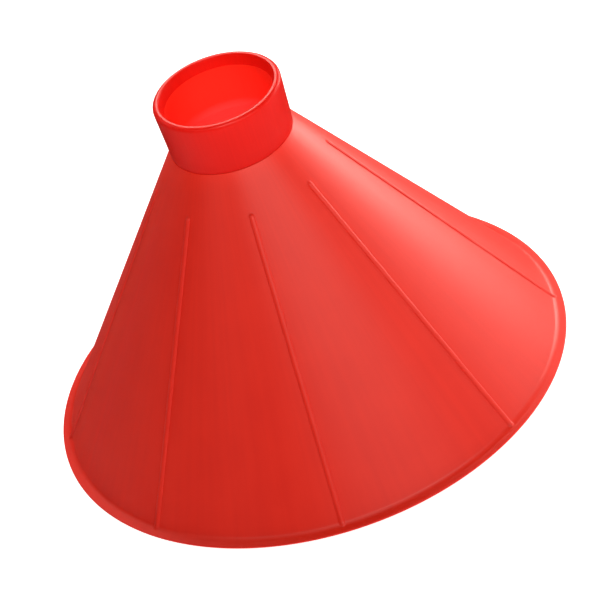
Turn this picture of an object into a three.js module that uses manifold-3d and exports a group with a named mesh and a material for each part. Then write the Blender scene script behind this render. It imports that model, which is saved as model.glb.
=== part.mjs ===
// Canning funnel standing on its wide mouth, with the neck on top.
//
// Two moulded pieces: a conical shell, and a neck collar that is pushed over a spigot on the shell's top
// until it seats on the shoulder round it. Millimetres, +Z up. The origin is the centre of the mouth, in the
// plane of the rim that the funnel stands on.

import * as THREE from "three";
import { mergeVertices } from "three/addons/utils/BufferGeometryUtils.js";
import Module from "manifold-3d";

const wasm = await Module();
wasm.setup();

// ---- Driving dimensions ----

const mouthDiameter = 155; // over the rim flange
const rimWidth = 2; // the flange's reach past the foot of the cone
const rimThickness = 1; // at the foot of the cone
const rimEdge = 0.5; // thickness at the flange's outer edge
const rimRound = 0.2; // of the flange's two outer edges
const rimFillet = 1.2; // the blend's reach along the flange and up the cone
const coneHeight = 88; // rim plane to the shoulder under the collar
const coneWall = 2; // measured square to the cone

const boreDiameter = 32; // through the spigot
const neckWall = 2.1; // of the collar at its foot
const neckHeight = 16.5; // shoulder to lip
const neckFlare = 0.8; // the collar's outside grows by this much radius from foot to lip
const lipThickness = 3; // of the collar's inturned lip, which covers the spigot's end
const lipLead = 1; // the opening grows by this much radius from the bore to the lip's end
const lipRound = 1.4; // of the lip's outer edge
const lipEase = 0.3; // of its inner edge

const spigotWall = 0.9;
const fitGap = 0.3; // between the spigot and the collar, round it and above it

const ribCount = 8;
const ribWidth = 1.6;
const ribHeight = 0.5; // above the cone's surface
const ribSetback = 10.5; // from the shoulder down to the upper end of a rib

const roundSegments = 96;
const cornerSegments = 3;
const ribSegments = 16;
const ribEndSegments = 4;

// ---- Sizes that follow from them ----

const mouthRadius = mouthDiameter / 2;
const boreRadius = boreDiameter / 2;
const coneFootRadius = mouthRadius - rimWidth;
const shoulderRadius = boreRadius + neckWall;
const spigotRadius = boreRadius + spigotWall;
const socketRadius = spigotRadius + fitGap;
const lipTop = coneHeight + neckHeight;
const socketTop = lipTop - lipThickness;
const spigotTop = socketTop - fitGap;

// The cone narrows by coneSlope of radius for each millimetre of height, and leans in by that slope's angle.
const coneSlope = (coneFootRadius - shoulderRadius) / coneHeight;
const coneLean = Math.atan(coneSlope);
const coneRadiusAt = (z) => coneFootRadius - coneSlope * z;

// ---- Tools ----

// A closed geometry as a solid that can be cut and joined.
function solidOf(geometry) {
  const bare = geometry.clone();
  bare.deleteAttribute("normal");
  bare.deleteAttribute("uv");
  const merged = mergeVertices(bare, 1e-4);
  const triVerts = [];
  for (let i = 0; i < merged.index.count; i += 3) {
    const [a, b, c] = [0, 1, 2].map((k) => merged.index.getX(i + k));
    if (a !== b && b !== c && c !== a) triVerts.push(a, b, c);
  }
  const mesh = new wasm.Mesh({
    numProp: 3,
    vertProperties: merged.attributes.position.array,
    triVerts: new Uint32Array(triVerts),
  });
  return new wasm.Manifold(mesh);
}

function geometryOf(solid) {
  const mesh = solid.getMesh();
  return new THREE.BufferGeometry()
    .setAttribute("position", new THREE.BufferAttribute(mesh.vertProperties, 3))
    .setIndex(new THREE.BufferAttribute(mesh.triVerts, 1));
}

// Turns an outline about Z. A corner is [radius, height] or [radius, height, reach of its rounding], and the
// outline runs up the outside. One that starts on the axis ends there too, and any other closes on itself.
function turned(corners) {
  const at = (i) => new THREE.Vector2(...corners[(i + corners.length) % corners.length]);
  const path = new THREE.Path();
  corners.forEach(([, , round = 0], i) => {
    const corner = at(i);
    const from = corner.clone().add(at(i - 1).sub(corner).setLength(round));
    const to = corner.clone().add(at(i + 1).sub(corner).setLength(round));
    if (i === 0) path.moveTo(from.x, from.y);
    else path.lineTo(from.x, from.y);
    if (round > 0) path.quadraticCurveTo(corner.x, corner.y, to.x, to.y);
  });
  if (corners[0][0] > 0) path.closePath();
  return new THREE.LatheGeometry(path.getPoints(cornerSegments), roundSegments).rotateX(Math.PI / 2);
}

// ---- Cone shell: conical wall, rim flange, spigot and outside ribs, one moulding ----

// A rib is a round-ended bar laid along the cone and sunk into it until only its crown stands out.
function rib(angle) {
  const barRadius = (ribWidth ** 2 / 4 + ribHeight ** 2) / (2 * ribHeight);
  const sunk = barRadius - ribHeight;
  const lowEnd = rimThickness / 2 + barRadius;
  const highEnd = coneHeight - ribSetback - barRadius;
  const middle = (lowEnd + highEnd) / 2;
  const length = (highEnd - lowEnd) / Math.cos(coneLean);
  const bar = new THREE.CapsuleGeometry(barRadius, length, ribEndSegments, ribSegments);
  bar.rotateX(Math.PI / 2).rotateY(-coneLean);
  bar.translate(coneRadiusAt(middle) - sunk * Math.cos(coneLean), 0, middle - sunk * Math.sin(coneLean));
  return solidOf(bar.rotateZ(angle));
}

function coneShell() {
  const outside = turned([
    [0, 0],
    [mouthRadius, 0, rimRound],
    [mouthRadius, rimEdge, rimRound],
    [coneRadiusAt(rimThickness), rimThickness, rimFillet],
    [shoulderRadius, coneHeight],
    [spigotRadius, coneHeight],
    [spigotRadius, spigotTop],
    [0, spigotTop],
  ]);

  // The hollow runs past both ends of the shell, so that it opens them.
  const past = 5;
  const wallAcross = coneWall / Math.cos(coneLean);
  const throat = (coneFootRadius - wallAcross - boreRadius) / coneSlope;
  const hollow = turned([
    [0, -past],
    [coneRadiusAt(-past) - wallAcross, -past],
    [boreRadius, throat],
    [boreRadius, spigotTop + past],
    [0, spigotTop + past],
  ]);

  let shell = solidOf(outside);
  for (let i = 0; i < ribCount; i++) shell = shell.add(rib((i / ribCount) * 2 * Math.PI));
  return geometryOf(shell.subtract(solidOf(hollow)));
}

// ---- Neck collar: sleeve round the spigot, with a lip turned in over the spigot's end ----

function neckCollar() {
  return turned([
    [socketRadius, coneHeight],
    [shoulderRadius, coneHeight],
    [shoulderRadius + neckFlare, lipTop, lipRound],
    [boreRadius + lipLead, lipTop, lipEase],
    [boreRadius, socketTop],
    [socketRadius, socketTop],
  ]);
}

// ---- The assembly ----

const shellPlastic = new THREE.MeshStandardMaterial({ color: "#cf2a1f", roughness: 0.45, metalness: 0 });
const collarPlastic = new THREE.MeshStandardMaterial({ color: "#d81d13", roughness: 0.35, metalness: 0 });

const funnel = new THREE.Group();
const pieces = [
  ["cone_shell", coneShell(), shellPlastic],
  ["neck_collar", neckCollar(), collarPlastic],
];
for (const [name, geometry, material] of pieces) {
  const piece = new THREE.Mesh(geometry, material);
  piece.name = name;
  funnel.add(piece);
}

export default funnel;
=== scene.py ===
import math

import bmesh
import bpy
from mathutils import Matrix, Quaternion, Vector


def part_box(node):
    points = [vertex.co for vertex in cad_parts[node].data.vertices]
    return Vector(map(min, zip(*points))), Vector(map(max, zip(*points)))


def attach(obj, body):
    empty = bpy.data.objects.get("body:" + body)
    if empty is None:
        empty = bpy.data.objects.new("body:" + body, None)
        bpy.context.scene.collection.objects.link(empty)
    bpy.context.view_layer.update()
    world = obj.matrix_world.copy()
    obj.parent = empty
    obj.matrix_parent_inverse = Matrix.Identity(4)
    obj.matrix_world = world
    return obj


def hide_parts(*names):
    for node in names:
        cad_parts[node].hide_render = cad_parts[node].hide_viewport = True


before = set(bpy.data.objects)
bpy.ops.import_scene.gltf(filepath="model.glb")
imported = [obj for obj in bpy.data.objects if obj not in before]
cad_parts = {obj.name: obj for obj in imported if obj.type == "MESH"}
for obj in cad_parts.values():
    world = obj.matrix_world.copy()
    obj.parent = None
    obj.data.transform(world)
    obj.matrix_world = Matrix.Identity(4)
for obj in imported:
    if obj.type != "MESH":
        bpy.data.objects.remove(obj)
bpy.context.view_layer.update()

# ---------------------------------------------------------------------------------------------------------
# Cone shell
# One injection moulding in red polypropylene: a thin conical wall with a narrow flange round the mouth,
# eight low ribs down the outside, and a spigot on top that the collar is pushed over.

MM = 0.001

_, shell_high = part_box("cone_shell")
collar_low, collar_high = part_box("neck_collar")

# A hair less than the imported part, so that rounding never carries the rim past it.
mouth_radius = shell_high.x - 0.005 * MM
shoulder_z = collar_low.z
spigot_top = shell_high.z
rim_width = 2 * MM
rim_thickness = 1 * MM
rim_edge = 0.5 * MM
cone_wall = 2 * MM
shoulder_radius = 18.1 * MM
bore_radius = 16 * MM
spigot_radius = 16.9 * MM

cone_foot_radius = mouth_radius - rim_width
cone_slope = (cone_foot_radius - shoulder_radius) / shoulder_z
cone_lean = math.atan(cone_slope)
wall_across = cone_wall / math.cos(cone_lean)
throat_z = (cone_foot_radius - wall_across - bore_radius) / cone_slope

rib_count = 8
rib_top_z = shoulder_z - 10.5 * MM
rib_height = 0.5 * MM
rib_half_width = 0.8 * MM
rib_zone = math.radians(6)
rib_zone_steps = 20
between_ribs_steps = 24
smooth_angle = math.radians(40)


def cone_radius(z):
    return cone_foot_radius - cone_slope * z


def start_section(name, first_corner):
    """A new mesh in edit mode that holds one vertex, the first corner of a cross-section."""
    bpy.ops.object.select_all(action="DESELECT")
    bpy.ops.mesh.primitive_plane_add(size=MM)
    piece = bpy.context.object
    piece.name = name
    piece.data.name = name
    bpy.ops.object.mode_set(mode="EDIT")
    bpy.ops.mesh.select_mode(type="VERT")
    bpy.ops.mesh.select_all(action="SELECT")
    bpy.ops.mesh.merge(type="CENTER")
    bpy.ops.transform.translate(value=(first_corner[0], 0, first_corner[1]))
    return piece


def draw_section(corners, rows):
    """Extrudes the selected vertex from corner to corner, each stretch in so many rows."""
    for (r0, z0), (r1, z1), count in zip(corners, corners[1:], rows):
        step = ((r1 - r0) / count, 0, (z1 - z0) / count)
        for _ in range(count):
            bpy.ops.mesh.extrude_vertices_move(TRANSFORM_OT_translate={"value": step})
    bpy.ops.mesh.select_all(action="SELECT")
    bpy.ops.mesh.edge_face_add()


def select_where(piece, wanted):
    """Selects just the vertices whose place passes the test."""
    bpy.ops.mesh.select_all(action="DESELECT")
    mesh = bmesh.from_edit_mesh(piece.data)
    for vertex in mesh.verts:
        vertex.select = wanted(vertex.co)
    mesh.select_flush(True)
    bmesh.update_edit_mesh(piece.data)


def near(point, r, z, tolerance=1e-5):
    return abs(math.hypot(point.x, point.y) - r) < tolerance and abs(point.z - z) < tolerance


def round_corner(piece, r, z, reach, segments):
    """Rounds one corner of the cross-section."""
    select_where(piece, lambda point: near(point, r, z))
    bpy.ops.mesh.bevel(offset=reach, offset_type="OFFSET", segments=segments, affect="VERTICES")


def open_section():
    """Takes the face out of the finished cross-section and leaves its outline selected."""
    bpy.ops.mesh.select_all(action="SELECT")
    bpy.ops.mesh.delete(type="ONLY_FACE")
    bpy.ops.mesh.select_all(action="SELECT")


def close_turned():
    """Joins the last row of a turned mesh to the first and points every face outwards."""
    bpy.ops.mesh.select_all(action="SELECT")
    bpy.ops.mesh.remove_doubles(threshold=1e-6)
    bpy.ops.mesh.normals_make_consistent(inside=False)


shell_corners = [
    (cone_foot_radius - wall_across, 0),
    (mouth_radius, 0),
    (mouth_radius, rim_edge),
    (cone_radius(rim_thickness), rim_thickness),
    (cone_radius(6 * MM), 6 * MM),
    (cone_radius(rib_top_z - 3 * MM), rib_top_z - 3 * MM),
    (cone_radius(rib_top_z + 2 * MM), rib_top_z + 2 * MM),
    (shoulder_radius, shoulder_z),
    (spigot_radius, shoulder_z),
    (spigot_radius, spigot_top),
    (bore_radius, spigot_top),
    (bore_radius, throat_z),
]
shell = start_section("funnel_shell", shell_corners[0])
draw_section(shell_corners, [2, 1, 1, 6, 40, 16, 6, 1, 1, 1, 6])
round_corner(shell, mouth_radius, 0, 0.2 * MM, 3)
round_corner(shell, mouth_radius, rim_edge, 0.2 * MM, 4)
round_corner(shell, cone_radius(rim_thickness), rim_thickness, 1.2 * MM, 6)
round_corner(shell, bore_radius, throat_z, 2.5 * MM, 10)
open_section()

# The turn is fine where a rib will rise and coarse between the ribs.
pitch = math.tau / rib_count
half_zone = (rib_zone_steps, rib_zone / 2)
between = (between_ribs_steps, pitch - rib_zone)
for steps, angle in [half_zone, between, half_zone] * rib_count:
    bpy.ops.mesh.spin(steps=steps, angle=angle, center=(0, 0, 0), axis=(0, 0, 1))
close_turned()


def on_rib_crown(point):
    angle = math.atan2(point.y, point.x) / pitch
    across = abs(angle - round(angle)) * pitch
    outside = math.hypot(point.x, point.y) > cone_radius(point.z) - 0.1 * MM
    return across < 1e-4 and outside and 1.2 * rim_thickness < point.z < rib_top_z - rib_half_width


select_where(shell, on_rib_crown)
bpy.ops.transform.shrink_fatten(
    value=rib_height,
    use_proportional_edit=True,
    proportional_edit_falloff="SPHERE",
    proportional_size=rib_half_width,
)
bpy.ops.object.mode_set(mode="OBJECT")
bpy.ops.object.shade_smooth_by_angle(angle=smooth_angle)


def linear(hex_colour):
    """An sRGB hex colour as the linear red, green, blue and alpha that a shader takes."""
    channels = [int(hex_colour[i:i + 2], 16) / 255 for i in (1, 3, 5)]
    return (*[c / 12.92 if c <= 0.04045 else ((c + 0.055) / 1.055) ** 2.4 for c in channels], 1)


def add_node(tree, kind, feeds=None, **settings):
    """Adds one node, sets its properties, and links or sets its inputs by name or number."""
    node = tree.nodes.new(kind)
    for name, value in settings.items():
        setattr(node, name, value)
    for name, value in (feeds or {}).items():
        if isinstance(value, bpy.types.NodeSocket):
            tree.links.new(value, node.inputs[name])
        else:
            node.inputs[name].default_value = value
    return node


def moulded_polypropylene(name, deep, fresh, roughness, grain, shine):
    """Pigmented polypropylene as it leaves a lightly etched steel mould.

    The eye gets a soft satin sheen from the etched grain, a faint cloudiness where the pigment is not quite
    evenly mixed, and hair-fine streaks that run from the neck to the rim, the way the melt flowed.
    """
    material = bpy.data.materials.new(name)
    material.use_nodes = True
    tree = material.node_tree
    shader = tree.nodes["Principled BSDF"]
    shader.inputs["IOR"].default_value = 1.49
    shader.inputs["Specular IOR Level"].default_value = shine
    place = add_node(tree, "ShaderNodeTexCoord").outputs["Object"]

    # Pigment clouds about 14 mm across.
    clouds = add_node(tree, "ShaderNodeTexNoise", {"Vector": place, "Scale": 1 / (14 * MM), "Detail": 3.0})

    # Flow streaks: their pattern follows the direction from the axis, about 2 degrees to a streak, and
    # changes only slowly with height.
    parts = add_node(tree, "ShaderNodeSeparateXYZ", {"Vector": place})
    flat = add_node(tree, "ShaderNodeCombineXYZ", {"X": parts.outputs["X"], "Y": parts.outputs["Y"]})
    bearing = add_node(tree, "ShaderNodeVectorMath", {0: flat.outputs["Vector"]}, operation="NORMALIZE")
    around = add_node(
        tree,
        "ShaderNodeVectorMath",
        {0: bearing.outputs["Vector"], "Scale": 28.0},
        operation="SCALE",
    )
    along = add_node(
        tree,
        "ShaderNodeMath",
        {0: parts.outputs["Z"], 1: 1 / (45 * MM)},
        operation="MULTIPLY",
    )
    lift = add_node(tree, "ShaderNodeCombineXYZ", {"Z": along.outputs["Value"]})
    flow = add_node(
        tree,
        "ShaderNodeVectorMath",
        {0: around.outputs["Vector"], 1: lift.outputs["Vector"]},
        operation="ADD",
    )
    streaks = add_node(
        tree,
        "ShaderNodeTexNoise",
        {"Vector": flow.outputs["Vector"], "Scale": 1.0, "Detail": 2.0},
    )

    # Mould grain: real etching is 0.1 to 0.2 mm across, drawn here at 0.5 mm, as fine as it can still show.
    etching = add_node(
        tree,
        "ShaderNodeTexNoise",
        {"Vector": place, "Scale": 1 / (0.5 * MM), "Detail": 2.0, "Roughness": 0.6},
    )
    # The wall waves very slightly between the ribs, where it shrank as it cooled.
    waves = add_node(tree, "ShaderNodeTexNoise", {"Vector": place, "Scale": 1 / (30 * MM), "Detail": 1.0})

    mixed = add_node(
        tree,
        "ShaderNodeMath",
        {0: clouds.outputs["Fac"], 1: streaks.outputs["Fac"]},
        operation="ADD",
    )
    tone = add_node(
        tree,
        "ShaderNodeMapRange",
        {"Value": mixed.outputs["Value"], "From Min": 0.7, "From Max": 1.3, "To Min": 0.0, "To Max": 1.0},
    )
    colour = add_node(
        tree,
        "ShaderNodeMix",
        {0: tone.outputs["Result"], 6: linear(deep), 7: linear(fresh)},
        data_type="RGBA",
    )
    tree.links.new(colour.outputs[2], shader.inputs["Base Color"])

    sheen = add_node(
        tree,
        "ShaderNodeMapRange",
        {
            "Value": streaks.outputs["Fac"],
            "From Min": 0.3,
            "From Max": 0.7,
            "To Min": roughness - 0.01,
            "To Max": roughness + 0.01,
        },
    )
    tree.links.new(sheen.outputs["Result"], shader.inputs["Roughness"])

    shrinkage = add_node(
        tree,
        "ShaderNodeBump",
        {"Height": waves.outputs["Fac"], "Strength": 0.3, "Distance": 0.4 * MM},
    )
    surface = add_node(
        tree,
        "ShaderNodeBump",
        {
            "Height": etching.outputs["Fac"],
            "Strength": grain,
            "Distance": 0.05 * MM,
            "Normal": shrinkage.outputs["Normal"],
        },
    )
    tree.links.new(surface.outputs["Normal"], shader.inputs["Normal"])
    return material


shell_material = moulded_polypropylene("satin_red_polypropylene", "#f02411", "#f62813", 0.42, 0.25, 0.5)
shell.data.materials.clear()
shell.data.materials.append(shell_material)
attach(shell, "root")
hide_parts("cone_shell")

# ---------------------------------------------------------------------------------------------------------
# Neck collar
# A short sleeve moulded in the same red polypropylene with a smoother, glossier finish. It is pushed over
# the spigot down to the shoulder, and its lip turns in over the spigot's end.

lip_top = collar_high.z
neck_flare = 0.8 * MM
lip_radius = bore_radius + 1 * MM
turn_steps = 192

# The sleeve stands clear of the shell by a few hundredths, so that their faces never coincide.
socket_radius = spigot_radius + 0.05 * MM
socket_top = spigot_top + 0.02 * MM
foot_z = shoulder_z + 0.05 * MM

collar_corners = [
    (socket_radius, foot_z),
    (shoulder_radius, foot_z),
    (shoulder_radius + neck_flare, lip_top),
    (lip_radius, lip_top),
    (bore_radius, socket_top),
    (socket_radius, socket_top),
]
collar = start_section("funnel_collar", collar_corners[0])
draw_section(collar_corners, [1, 6, 1, 3, 1])
round_corner(collar, shoulder_radius, foot_z, 0.25 * MM, 3)
round_corner(collar, shoulder_radius + neck_flare, lip_top, 1.4 * MM, 10)
round_corner(collar, lip_radius, lip_top, 0.3 * MM, 5)
open_section()
bpy.ops.mesh.spin(steps=turn_steps, angle=math.tau, center=(0, 0, 0), axis=(0, 0, 1))
close_turned()
bpy.ops.object.mode_set(mode="OBJECT")
bpy.ops.object.shade_smooth_by_angle(angle=smooth_angle)

collar_material = moulded_polypropylene("gloss_red_polypropylene", "#da130b", "#e0160d", 0.34, 0.12, 0.16)
collar.data.materials.clear()
collar.data.materials.append(collar_material)
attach(collar, "root")
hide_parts("neck_collar")

# ---------------------------------------------------------------------------------------------------------
# Table
# A plain matt white laminate sheet that the funnel stands on, laid flat and wide enough to run out of view
# on every side. A little light of its own keeps it an even white, and the funnel doesn't mirror it.

table_width = 12000 * MM

# The sheet lies a hair below the rim's underside, so that their faces never coincide.
table_z = -0.02 * MM

bpy.ops.object.select_all(action="DESELECT")
bpy.ops.mesh.primitive_plane_add(size=table_width, location=(0, 0, table_z))
table = bpy.context.object
table.name = "table"
table_material = bpy.data.materials.new("white_laminate")
table_material.use_nodes = True
table_shader = table_material.node_tree.nodes["Principled BSDF"]
table_shader.inputs["Base Color"].default_value = linear("#eeeeee")
table_shader.inputs["Roughness"].default_value = 0.9
table_shader.inputs["Specular IOR Level"].default_value = 0.2
table_shader.inputs["Emission Color"].default_value = (1, 1, 1, 1)
table_shader.inputs["Emission Strength"].default_value = 0.74

# From underneath the sheet is clear, so that it doesn't hide the funnel's inside.
table_tree = table_material.node_tree
side = add_node(table_tree, "ShaderNodeNewGeometry")
clear = add_node(table_tree, "ShaderNodeBsdfTransparent")
sheet = add_node(
    table_tree,
    "ShaderNodeMixShader",
    {0: side.outputs["Backfacing"], 1: table_shader.outputs["BSDF"], 2: clear.outputs["BSDF"]},
)
table_tree.links.new(sheet.outputs["Shader"], table_tree.nodes["Material Output"].inputs["Surface"])
table.data.materials.append(table_material)
table.visible_glossy = False

# ---------------------------------------------------------------------------------------------------------
# Camera
# A long lens from about a metre away and 36 degrees above the table, turned a little to the right of the
# front and rolled, so that the funnel leans to the left in the frame.

aim = Vector((3.235, 0.254, 25.642)) * MM
distance = 1095.714 * MM
roll = math.radians(18.945)


def towards(bearing, height_angle):
    """The direction with a bearing, turned from +X towards +Y, and a height angle, both in degrees."""
    level = math.cos(math.radians(height_angle))
    return Vector((
        level * math.cos(math.radians(bearing)),
        level * math.sin(math.radians(bearing)),
        math.sin(math.radians(height_angle)),
    ))


back = towards(274.490, 35.942)
camera_data = bpy.data.cameras.new("camera")
camera_data.lens = 223.664
camera = bpy.data.objects.new("camera", camera_data)
bpy.context.scene.collection.objects.link(camera)
camera.rotation_mode = "QUATERNION"
camera.location = aim + back * distance
camera.rotation_quaternion = (-back).to_track_quat("-Z", "Y") @ Quaternion((0, 0, 1), -roll)
bpy.context.scene.camera = camera

# ---------------------------------------------------------------------------------------------------------
# Studio light
# A ring of warm soft boxes, strongest behind and to the right, a small one near the neck, and a snoot that
# shines down into it. The white surround is only a backdrop and gives no light.

warm_white = (1.0, 0.95, 0.86)

world = bpy.data.worlds.new("studio")
world.use_nodes = True
world.node_tree.nodes["Background"].inputs["Color"].default_value = (1, 1, 1, 1)
world.node_tree.nodes["Background"].inputs["Strength"].default_value = 1.0
world.cycles_visibility.diffuse = False
world.cycles_visibility.glossy = False
bpy.context.scene.world = world
bpy.context.scene.view_settings.view_transform = "Standard"


def hang(lamp, place, direction):
    """Puts a lamp at its place and faces it in a direction."""
    stand = bpy.data.objects.new(lamp.name, lamp)
    bpy.context.scene.collection.objects.link(stand)
    stand.location = place
    stand.rotation_euler = direction.to_track_quat("-Z", "Y").to_euler()
    stand.visible_camera = False
    return stand


def soft_box(name, size, watts, colour):
    """A square lamp with an even, soft light."""
    lamp = bpy.data.lights.new(name, "AREA")
    lamp.shape = "SQUARE"
    lamp.size = size
    lamp.energy = watts
    lamp.color = colour
    return lamp


# The ring: bearing, height angle and watts of each box.
ring = {
    "back": (90, 36, 2.24),
    "back_high": (90, 48, 1.3),
    "back_left": (150, 36, 0.38),
    "back_right": (45, 10, 1.65),
    "right": (30, 10, 1.08),
    "front_right": (315, 35, 0.88),
    "front": (285, 35, 0.62),
    "front_left": (220, 40, 0.37),
    "right_low": (0, 8, 0.5),
}
ring_centre = Vector((0, 0, 50 * MM))
ring_radius = 650 * MM
for name, (bearing, height_angle, watts) in ring.items():
    way = towards(bearing, height_angle)
    hang(soft_box(name, 300 * MM, watts, warm_white), ring_centre + way * ring_radius, -way)

near_neck_way = towards(270, 45)
near_neck_place = Vector((0, 0, 100 * MM)) + near_neck_way * 300 * MM
hang(soft_box("near_neck", 120 * MM, 0.14, warm_white), near_neck_place, -near_neck_way)

# A small box on the table, hidden in the cone, stands in for the light that thin red plastic lets through.
glow = hang(soft_box("glow", 80 * MM, 0.022, (1, 1, 1)), (0, 0, 3 * MM), Vector((0, 0, 1)))
glow.visible_glossy = False

# The snoot's narrow beam enters the neck from above the front and lights its far wall.
snoot = bpy.data.lights.new("snoot", "SPOT")
snoot.energy = 9
snoot.color = warm_white
snoot.spot_size = math.radians(3.7)
snoot.spot_blend = 0.25
snoot.shadow_soft_size = 10 * MM
snoot_way = towards(270, 55)
hang(snoot, Vector((0, 0, lip_top)) + snoot_way * 650 * MM, -snoot_way)
